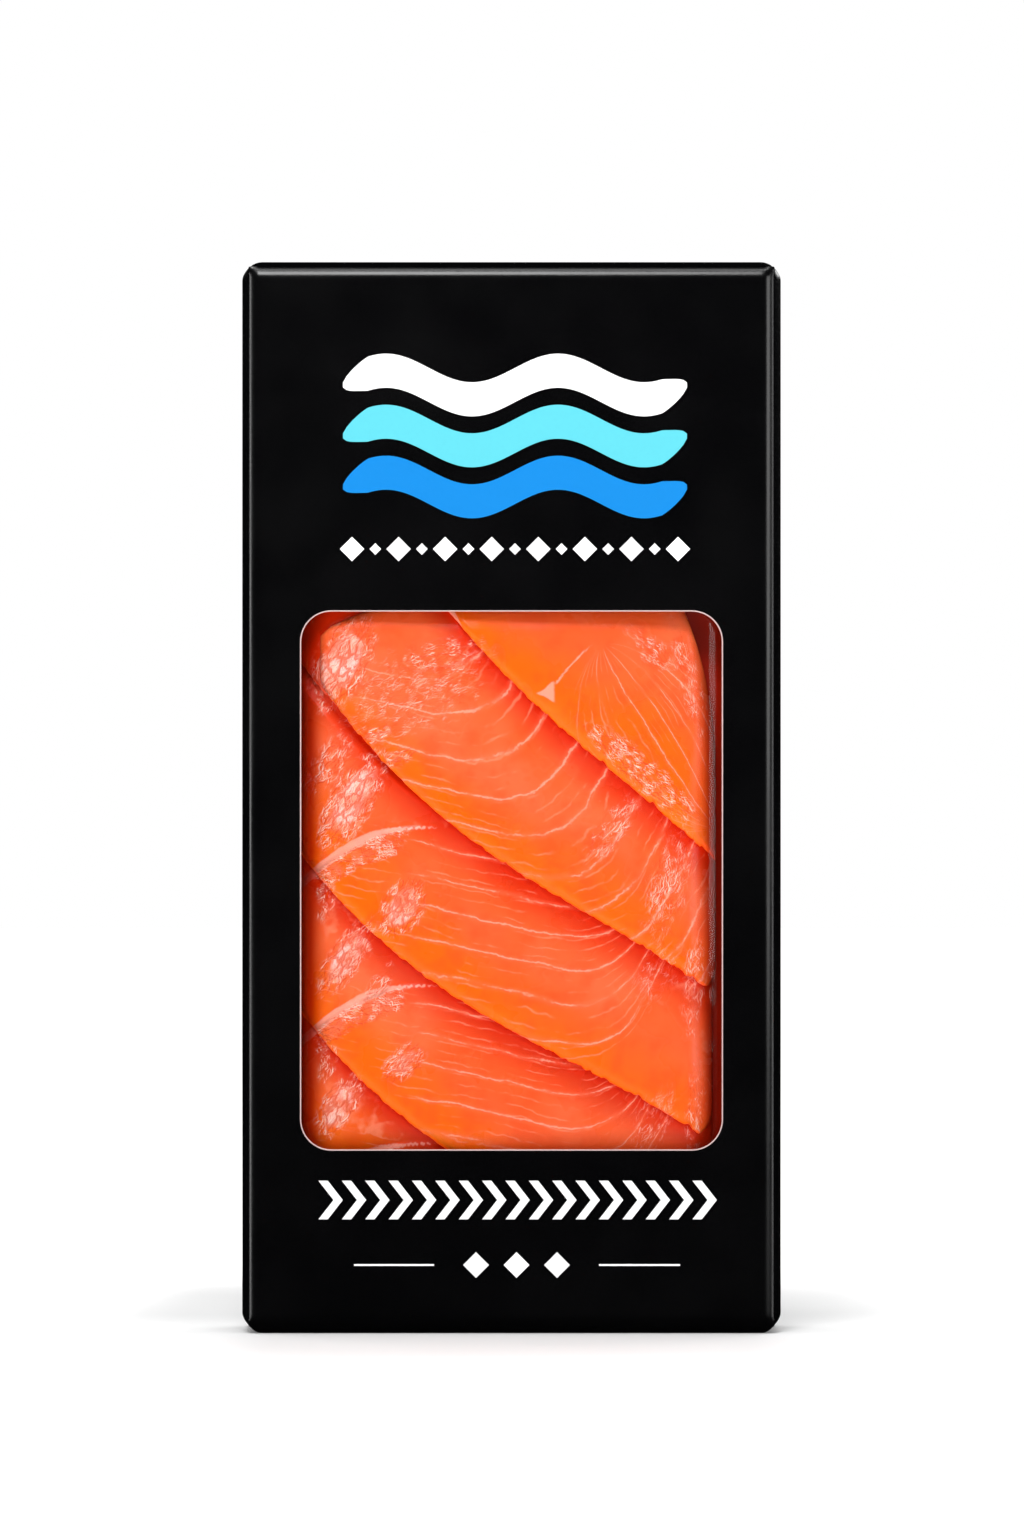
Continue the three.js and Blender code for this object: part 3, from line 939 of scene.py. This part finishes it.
def layer_depth(number):
    """The rule for how deep a slice lies, given its number from the top."""

    def depth(x, z):
        behind = number - shingle(x, z)
        tucked = pressed_down(x, z) if number > 1 else 0
        shown = np.clip(1.6 - behind, 0, 1)
        return SLICE_FRONT + LAYER * behind + fall_back(x, z) + tucked + relief(x, z) * shown

    return depth


def short_depth(x, z):
    return SLICE_FRONT + LAYER * (2 - shingle(x, z)) + fall_back(x, z)


def tucked_slice(number, low=None, right=None):
    """One of the slices below the upper one, each tucked under the slice above it."""
    return (
        low or EDGES[number],
        lambda x: EDGES[number](x) + PITCH + TUCK,
        rounded_end(SLICE_LEFT, -0.8, 4, PITCH + TUCK),
        right or rounded_end(56.4, 4, 10, PITCH + TUCK),
        layer_depth(number),
        SLICE,
    )


SLICES = {
    # name: lower edge, upper edge, left end, right end, depth, thickness
    "slice_top_right": (
        EDGES[0],
        lambda x: HIDDEN_TOP + 0 * x,
        lambda w: -22 + 0 * w,
        lambda w: 57.2 - 0.0056 * np.clip(w * 2.6 - 24, 0, None) ** 2,
        layer_depth(0),
        SLICE,
    ),
    "slice_upper": (
        EDGES[1],
        lambda x: np.minimum(EDGES[1](x) + LONG, upper_top(x)),
        rounded_end(UPPER_LEFT, -3, 9, LONG),
        rounded_end(57.4, 3, 9, LONG),
        layer_depth(1),
        SLICE,
    ),
    "slice_short": (
        SHORT_EDGE,
        lambda x: np.minimum(SHORT_EDGE(x) + 45, HIDDEN_TOP - 4),
        lambda w: SLICE_LEFT + 0 * w,
        lambda w: SHORT_RIGHT + 0 * w,
        short_depth,
        SHORT_SLICE,
    ),
    "slice_middle": tucked_slice(2),
    "slice_lower": tucked_slice(3),
    "slice_bottom": tucked_slice(
        4, lambda x: np.maximum(EDGES[4](x), 14 + x * 0.03), lambda w: 30 + 0 * w
    ),
}


def attach(piece, **measures):
    """Stores measures under their names: a number or a place for each vertex of a piece."""
    for name, values in measures.items():
        values = np.asarray(values, dtype=np.float32)
        kind, field = ("FLOAT", "value") if values.ndim == 1 else ("FLOAT_VECTOR", "vector")
        store = piece.data.attributes.new(name, kind, "POINT")
        store.data.foreach_set(field, values.ravel())


NOTHING_OVER = edge_line(999, 0, 0, 0)
LIES_UNDER = {
    "slice_top_right": NOTHING_OVER,
    "slice_upper": EDGES[0],
    "slice_short": EDGES[1],
    "slice_middle": EDGES[1],
    "slice_lower": EDGES[2],
    "slice_bottom": EDGES[3],
}


def model_slice(name, seed):
    low, high, left, right, depth, thickness = SLICES[name]
    piece = new_grid(name + "_flesh", COLUMNS, ROWS)
    modify(piece, "SOLIDIFY", thickness=0.1, offset=-1.0)
    flat = places(piece) * MM
    u = gathered(flat[:, 0] + 0.5)
    v = gathered(flat[:, 1] + 0.5)
    back = flat[:, 2] < -0.05
    tallest = float(high(np.zeros(1))[0] - low(np.zeros(1))[0])
    w = v * tallest
    x = left(w) + u * (right(w) - left(w))
    nick = nicked(x, seed) * np.exp(-w / 1.5)
    height = high(x) - low(x)
    z = low(x) + v * height + nick
    inwards = np.minimum(
        np.minimum(v, 1 - v) * height, np.minimum(u, 1 - u) * (right(w) - left(w))
    )
    left_over = 1 - np.clip(inwards / SLICE_ROUND, 0, 1)
    half = thickness / 2 * np.sqrt(1 - left_over**2)
    y = depth(x, z) + thickness / 2 + np.where(back, half, -half)
    move_to(piece, np.stack([x, y, z], axis=1))
    strength, place = crinkles(x, z)
    wedge = fat_wedge(x, z) if name == "slice_top_right" else 0 * x
    attach(
        piece,
        seam_count=SEAMS[name](x, z),
        seams_shown=seams_shown(name, x, z),
        from_edge=w,
        below_next=LIES_UNDER[name](x) - z,
        rolled_back=fall_back(x, z) / SIDE_FALL,
        crinkled=strength,
        crinkle_place=place,
        fold_fat=np.maximum(fold_fat(x, z), wedge),
    )
    edit(piece)
    bpy.ops.mesh.select_all(action="SELECT")
    bpy.ops.mesh.remove_doubles(threshold=0.01 * MM)
    bpy.ops.mesh.normals_make_consistent(inside=False)
    stop_editing()
    take(piece)
    bpy.ops.object.shade_smooth()
    return piece


flesh = {name: model_slice(name, 1.7 * i) for i, name in enumerate(SLICES)}

# %% [markdown]
# ## Salmon finish
# The flesh is bright orange along each free edge, with a painted glow for the light that shines
# through it there, and pinker further up. Towards the right ends it is painted a duller orange as
# shade where the slices turn back, and where the heap rolls back at the sides it gets a painted
# darker red shade. Under the edge of the slice above it lies in painted deep red shade. Pale seams
# of fat cross it, each a fine broken line with a soft halo. Where the clear pouch clings to the
# rumples it puckers into a net of tiny creases, drawn as painted light: painted white strokes and
# shade on the slopes, and a painted sheen with dark creases in the bright middle where it shines.
# A faint red glow at each thin edge and in the deepest shade stands for the light that wanders
# through the fish.

# %% Salmon tones
EDGE_ORANGE, BODY_ORANGE = colour(255, 106, 10), colour(255, 98, 44)
THIN_EDGE_GLOW_ORANGE, RIGHT_END_SHADE_ORANGE = colour(255, 130, 30), colour(226, 84, 46)
ROSY, MOTTLE = colour(255, 126, 86), colour(244, 80, 22)
SHADE_RED, ROLLED_SHADE_RED = colour(208, 30, 0), colour(188, 28, 0)
HALO_PINK, FIBRE_PINK = colour(255, 130, 92), colour(255, 158, 124)
SEAM_PINK, FOLD_PINK = colour(255, 176, 152), colour(255, 186, 168)
SHEEN_PINK, GLINT = colour(255, 190, 174), colour(255, 226, 218)
STROKE_GLINT_PINK, CREASE_RED = colour(255, 192, 162), colour(230, 98, 60)
STROKE_SHADE, STROKE_LIGHT = colour(226, 74, 30), colour(255, 220, 204)
SHELTER_GLOW, EDGE_GLOW = colour(240, 46, 0), colour(228, 50, 0)
BLACK = (0.0, 0.0, 0.0, 1.0)


# %% Salmon finish
def apart(fish, count):
    """How far a count is from the nearest whole number."""
    off = fish.node("Math", {"operation": "FRACT"}, {0: count + 0.5})
    return fish.node("Math", {"operation": "ABSOLUTE"}, {0: off - 0.5})


def fat_seams(fish, place, count, shown):
    """Fine pale lines where the count is whole, each a little different, and their halo."""
    wander = fish.noise(place, 60.0, 3.0) - 0.5
    ragged = fish.noise(place, 520.0, 4.0, 0.75) - 0.5
    beads = fish.noise(place, 620.0, 2.0, 0.6)
    moved = count + wander * 0.5 + ragged * 0.15
    whole = fish.node("Math", {"operation": "ROUND"}, {0: moved})
    vigour = fish.node("TexWhiteNoise", {"noise_dimensions": "1D"}, {"W": whole}, "Value")
    broken = fish.step(fish.noise(place, 150.0, 3.0, 0.65) + vigour * 0.14, 0.42, 0.66)
    distance = apart(fish, moved)
    line = fish.fade(distance / (beads * 1.5 + 0.1), 0.008, 0.044)
    halo = fish.fade(distance, 0.0, 0.15)
    return line * broken * shown, halo * shown


def crinkle_net(fish, scale, stretch, aside=0.0):
    """Creases of a net that is drawn out along its rumple, and moved aside by some millimetres."""
    place = fish.node("Attribute", {"attribute_name": "crinkle_place"}, output="Vector")
    drawn = fish.node(
        "VectorMath",
        {"operation": "MULTIPLY_ADD"},
        {0: place, 1: (1 / stretch, 1.0, 1.0), 2: (0.0, aside, 0.0)},
    )
    warp = fish.node("TexNoise", None, {"Vector": drawn, "Scale": 0.45, "Detail": 2.0}, "Color")
    shift = fish.node("VectorMath", {"operation": "SCALE"}, {0: warp, "Scale": 3.4})
    moved = fish.node("VectorMath", {"operation": "ADD"}, {0: drawn, 1: shift})
    cells = {"Vector": moved, "Scale": scale}
    away = fish.node("TexVoronoi", {"feature": "DISTANCE_TO_EDGE"}, cells, "Distance")
    return fish.fade(away, 0.03, 0.13)


def strokes_along(fish, place, scale, turn):
    """Short fine strokes that all lean alike: the contour lines of a drawn-out noise."""
    inputs = {"Vector": place, "Angle": math.radians(turn)}
    leaning = fish.node("VectorRotate", {"rotation_type": "Y_AXIS"}, inputs)
    drawn = fish.node("VectorMath", {"operation": "MULTIPLY"}, {0: leaning, 1: (0.24, 1.0, 1.0)})
    hills = fish.noise(drawn, scale, 1.0) * 7.0
    return fish.fade(apart(fish, hills), 0.05, 0.2)


def flesh_tone(fish, place, patches):
    """Orange at the edges and painted lighter where thin, pinker in the middle, with painted shade
    at the right ends and painted deep red shade under the next slice.
    """
    from_edge = fish.measure("from_edge")
    place_x = fish.axis(place, "X")
    leaner = fish.step(place_x, -0.045, 0.0, 14.0, 0.0)
    body = fish.step(from_edge - leaner + patches * 16.0, 9.0, 30.0)
    rosy = fish.noise(place, 34.0, 2.0) + fish.step(place_x, 0.0, 0.04, 0.0, 0.12)
    rosy = fish.step(rosy, 0.46, 0.7) * fish.step(from_edge, 8.0, 24.0)
    mottled = fish.step(fish.noise(place, 120.0, 4.0, 0.6), 0.44, 0.66)
    # Painted glow: the thin free edge turns a lighter orange, for light shining through it.
    thin = fish.fade(from_edge + patches * 2.0, 0.4, 5.5)
    # Painted shade: the right ends turn a duller orange, darker where the slices turn back.
    right_end_shade = fish.step(place_x, 0.044, 0.058)
    shade = fish.fade(fish.measure("below_next") + patches * 5.0, 1.5, 18.0)
    tone = fish.blend(body, EDGE_ORANGE, BODY_ORANGE)
    tone = fish.blend(rosy * 0.42, tone, ROSY)
    tone = fish.blend(mottled * 0.4, tone, MOTTLE)
    tone = fish.blend(thin * 0.75, tone, THIN_EDGE_GLOW_ORANGE)
    tone = fish.blend(right_end_shade * 0.5, tone, RIGHT_END_SHADE_ORANGE)
    return fish.blend(shade * 0.94, tone, SHADE_RED)


def with_fat(fish, place, tone):
    """Draws the seams, the fine fibres between them and the frayed fat of the folds."""
    count = fish.measure("seam_count")
    seams, halo = fat_seams(fish, place, count, fish.measure("seams_shown"))
    tilted = count * 3.0 + fish.noise(place, 45.0, 4.0, 0.6) * 2.4
    faint = fish.step(fish.noise(place, 110.0, 3.0, 0.6), 0.44, 0.64)
    fine = fish.fade(apart(fish, tilted), 0.02, 0.12) * faint
    uneven = (fish.noise(place, 420.0, 3.0) - 0.5) * 0.7
    frayed = fish.step(fish.measure("fold_fat") + uneven, 0.3, 0.8)
    tone = fish.blend(halo * 0.26, tone, HALO_PINK)
    tone = fish.blend(fine * 0.42, tone, FIBRE_PINK)
    tone = fish.blend(seams * 0.66, tone, SEAM_PINK)
    return fish.blend(frayed * 0.62, tone, FOLD_PINK), seams


def with_crinkles(fish, place, tone):
    """Paints the film's sheen, glints and lit and shaded creases over the rumples, and gives how
    far they press in.
    """
    crinkled = fish.measure("crinkled")
    edgy = crinkled + (fish.noise(place, 240.0, 3.0, 0.6) - 0.5) * 0.5
    creases = crinkle_net(fish, 0.42, 1.9)
    fine_creases = crinkle_net(fish, 0.95, 1.6)
    lit = creases - crinkle_net(fish, 0.42, 1.9, 0.24)
    lit_fine = fine_creases - crinkle_net(fish, 0.95, 1.6, 0.16)
    # Painted light on the film: a sheen and glints in the bright middle, and lit and shaded sides
    # of strokes round it.
    bright = fish.step(edgy, 0.66, 1.0)
    around = fish.step(edgy, 0.14, 0.6)
    stroke_glints = strokes_along(fish, place, 150.0, 58.0)
    some = fish.step(fish.noise(place, 330.0, 2.0, 0.5), 0.42, 0.62)
    glint = fish.step(crinkled, 0.8, 1.0) * fish.step(fish.noise(place, 170.0, 2.0), 0.4, 0.62)
    tone = fish.blend(bright * 0.34, tone, SHEEN_PINK)
    tone = fish.blend(glint * 0.75, tone, GLINT)
    tone = fish.blend(around * stroke_glints * some * 0.4, tone, STROKE_GLINT_PINK)
    for edge, most in ((lit, 1.0), (lit_fine, 0.7)):
        facing = fish.step(edge, 0.02, 0.4) * around
        turned_away = fish.fade(edge, -0.4, -0.02) * around
        tone = fish.blend(turned_away * most * 0.75, tone, STROKE_SHADE)
        tone = fish.blend(facing * some * most * 0.9, tone, STROKE_LIGHT)
    # Dark creases break the painted sheen in the bright middle.
    tone = fish.blend(creases * bright * 0.75, tone, CREASE_RED)
    pressed = (creases * 0.5 + fine_creases * 0.3) * fish.step(edgy, 0.1, 0.6)
    return tone, pressed


def salmon_finish():
    fish = Finish("salmon")
    place = fish.objects_place()
    patches = fish.noise(place, 60.0, 3.0)
    tone, seams = with_fat(fish, place, flesh_tone(fish, place, patches))
    tone, pressed = with_crinkles(fish, place, tone)
    # Painted shade: darker red where the heap rolls back at the window's sides and ends.
    rolled = fish.step(fish.measure("rolled_back"), 0.0, 0.8)
    tone = fish.blend(rolled * 0.92, tone, ROLLED_SHADE_RED)
    fibres = fish.noise(place, 1200.0, 2.0, 0.6)
    swell_under = fish.noise(place, 190.0, 2.0, 0.5)
    height = fibres * 0.07 + seams * 0.2 + swell_under * 0.5 - pressed * 0.5
    in_front = 1 - rolled * 0.7
    shone_through = fish.fade(fish.measure("from_edge"), 0.2, 1.2) * in_front
    sheltered = fish.fade(fish.measure("below_next"), -0.5, 4.0) * in_front
    glow = fish.blend(sheltered * 0.14, BLACK, SHELTER_GLOW)
    glow = fish.blend(shone_through * 0.6, glow, EDGE_GLOW)
    return fish.surface(
        {
            "Base Color": tone,
            "Roughness": fish.step(patches, 0.3, 0.7, 0.24, 0.34),
            "IOR": 1.4,
            "Specular IOR Level": 0.3,
            "Subsurface Weight": 0.2,
            "Subsurface Radius": (1.0, 0.32, 0.14),
            "Subsurface Scale": 0.003,
            "Emission Color": glow,
            "Emission Strength": 1.0,
            "Normal": fish.bump(height, 0.4 * MM, 0.6),
        }
    )


salmon = salmon_finish()
for name, piece in flesh.items():
    hand_over(piece, "salmon", salmon, name)

# %% [markdown]
# The rest of the fish is the block behind the slices. Its shape is right as it is, and it is only
# seen in the shade between a slice and the window's edge, so it keeps its solid and gets a darker
# red finish that is painted shade, with a faint painted glow.


# %% Deep salmon finish
def deep_finish():
    deep = Finish("deep_salmon")
    place = deep.objects_place()
    # Painted shade: a darker red than the slices.
    tone = deep.blend(deep.noise(place, 90.0, 3.0), colour(156, 14, 0), colour(196, 32, 0))
    return deep.surface(
        {
            "Base Color": tone,
            "Roughness": 0.35,
            # Painted glow: a faint red emission for light through the flesh.
            "Emission Color": colour(236, 44, 0),
            "Emission Strength": 0.05,
            "Normal": deep.bump(deep.noise(place, 300.0, 3.0), 0.3 * MM, 0.5),
        }
    )


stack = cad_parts["salmon_stack"]
stack.data.materials.clear()
stack.data.materials.append(deep_finish())

# %% [markdown]
# ## The window's film
# A clear film closes the window. It lies close over the fish and rolls back behind the board at
# all four sides, which is where it catches tall thin reflections of the side lamps. Clear film is
# modelled as see-through with a thin gloss on top, not as thick glass, so it doesn't bend what is
# behind it.

# %% Film
FILM_MARGIN = 3.6


def film_front(x, z):
    """How deep the film's front lies, from its flat middle to where it rolls back."""
    side = np.clip((np.abs(x) - SIDE_FLAT - 2) / SIDE_RUN, 0, 1.4)
    end = np.clip((np.abs(z - WINDOW_MIDDLE) - END_FLAT - 1) / END_RUN, 0, 1)
    return FILM_FRONT + 2.2 * side**2 + 1.1 * end**2


def film_finish():
    clear = Finish("clear_film")
    ripple = clear.noise(clear.objects_place(), 80.0, 2.0)
    inputs = {"Roughness": 0.06, "Normal": clear.bump(ripple, 0.25 * MM, 0.6)}
    gloss = clear.node("BsdfGlossy", None, inputs)
    through = clear.node("BsdfTransparent")
    mirrored = clear.node("Fresnel", None, {"IOR": 1.3}) * 0.5
    return clear.done(clear.node("MixShader", None, {0: mirrored, 1: through, 2: gloss}))


film = new_grid("clear_window", 120, 140)
grid = places(film) * MM
film_x = 2 * gathered(grid[:, 0] + 0.5) * (WINDOW_WIDTH / 2 + FILM_MARGIN)
film_x -= WINDOW_WIDTH / 2 + FILM_MARGIN
film_z = 2 * gathered(grid[:, 1] + 0.5) * (WINDOW_HEIGHT / 2 + FILM_MARGIN)
film_z += WINDOW_MIDDLE - WINDOW_HEIGHT / 2 - FILM_MARGIN
move_to(film, np.stack([film_x, film_front(film_x, film_z), film_z], axis=1))
modify(film, "SOLIDIFY", thickness=FILM * MM, offset=-1.0)
take(film)
bpy.ops.object.shade_smooth()
hand_over(film, "clear_film", film_finish(), "window_film")

# %% [markdown]
# ## Print on the front
# The carton's front carries flat print in white, light blue and blue. This generic design has
# three waves above the window, a row of lozenges under them, a band of chevrons below the window,
# and two thin rules. Ink has no thickness to speak of, so each shape is a sheet a twentieth of a
# millimetre thick that lies on the board.

# %% Print
INK = 0.05


def ink_sheet(name, low_x, low_z, high_x, high_z, tone):
    """A flat printed ribbon between a lower and an upper line of points, in millimetres."""
    count = len(low_x)
    sheet = new_grid(name, count - 1, 1)
    grid_points = places(sheet) * MM
    column = np.rint((grid_points[:, 0] + 0.5) * (count - 1)).astype(int)
    upper = grid_points[:, 1] > 0
    x = np.where(upper, high_x[column], low_x[column])
    z = np.where(upper, high_z[column], low_z[column])
    move_to(sheet, np.stack([x, 0 * x + PANEL - INK, z], axis=1))
    modify(sheet, "SOLIDIFY", thickness=INK * MM, offset=-1.0)
    hand_over(sheet, "carton_board", tone)


def ink_finish(name, tone):
    ink = Finish(name)
    cover = ink.noise(ink.objects_place(), 700.0, 3.0)
    shade = tuple(0.94 * c for c in tone[:3]) + (1.0,)
    return ink.surface(
        {
            "Base Color": ink.blend(cover, shade, tone),
            "Roughness": ink.step(cover, 0.3, 0.7, 0.42, 0.5),
            "Specular IOR Level": 0.2,
            "Normal": ink.bump(cover, 0.02 * MM, 0.3),
        }
    )


white_ink = ink_finish("white_ink", colour(255, 255, 255))
aqua_ink = ink_finish("aqua_ink", colour(88, 194, 208))
blue_ink = ink_finish("blue_ink", colour(0, 126, 204))

WAVE_LEFT, WAVE_RIGHT = 343, 687
WAVE_THICK, WAVE_SWING, WAVE_TAPER = 9.5, 4.0, 7.0
left_mm, _ = seen_at(WAVE_LEFT, 0)
right_mm, _ = seen_at(WAVE_RIGHT, 0)
wave_x = np.linspace(left_mm, right_mm, 97)
phase = (wave_x - left_mm) / (right_mm - left_mm) * 4 * np.pi
to_end = np.minimum(wave_x - left_mm, right_mm - wave_x)
half = WAVE_THICK / 2 * np.sqrt(np.minimum(1, to_end / WAVE_TAPER + 0.02))
for name, row, tone in [
    ("wave_top", 385, white_ink),
    ("wave_middle", 436, aqua_ink),
    ("wave_low", 487, blue_ink),
]:
    middle = seen_at(0, row)[1] + WAVE_SWING * np.sin(phase)
    ink_sheet(name, wave_x, middle - half, wave_x, middle + half, tone)


def lozenge(name, column, row, half_size):
    x, z = seen_at(column, row)
    across = np.array([-1.0, 0.0, 1.0])
    rise = half_size * (1 - np.abs(across)) + 0.02
    x = x + across * half_size
    ink_sheet(name, x, z - rise, x, z + rise, white_ink)


LOZENGE_ROW, LOZENGE, SMALL_LOZENGE, LOW_LOZENGE = 549, 3.4, 1.6, 3.6
for i, column in enumerate(np.linspace(352, 678, 15)):
    lozenge(f"lozenge_{i}", column, LOZENGE_ROW, LOZENGE if i % 2 == 0 else SMALL_LOZENGE)


CHEVRON_ROW, CHEVRON_HALF, CHEVRON_REACH, STROKE = 1200, 5.4, 4.2, 2.6


def chevron(name, column):
    x, z = seen_at(column, CHEVRON_ROW)
    down = np.array([1.0, 0.0, -1.0])
    left = x + CHEVRON_REACH * (1 - np.abs(down)) - CHEVRON_REACH / 2
    height = z + down * CHEVRON_HALF
    ink_sheet(name, left + STROKE, height, left, height, white_ink)


for i, column in enumerate(np.linspace(326, 700, 17)):
    chevron(f"chevron_{i}", column)

RULE_ROW, HALF_RULE = 1265, 0.26
for i, (start, end) in enumerate([(354, 434), (599, 680)]):
    x0, z0 = seen_at(start, RULE_ROW)
    x1, _ = seen_at(end, RULE_ROW)
    ends, level = np.array([x0, x1]), np.array([z0, z0])
    ink_sheet(f"rule_{i}", ends, level - HALF_RULE, ends, level + HALF_RULE, white_ink)
for i, column in enumerate((476, 516.5, 557)):
    lozenge(f"lower_lozenge_{i}", column, RULE_ROW, LOW_LOZENGE)
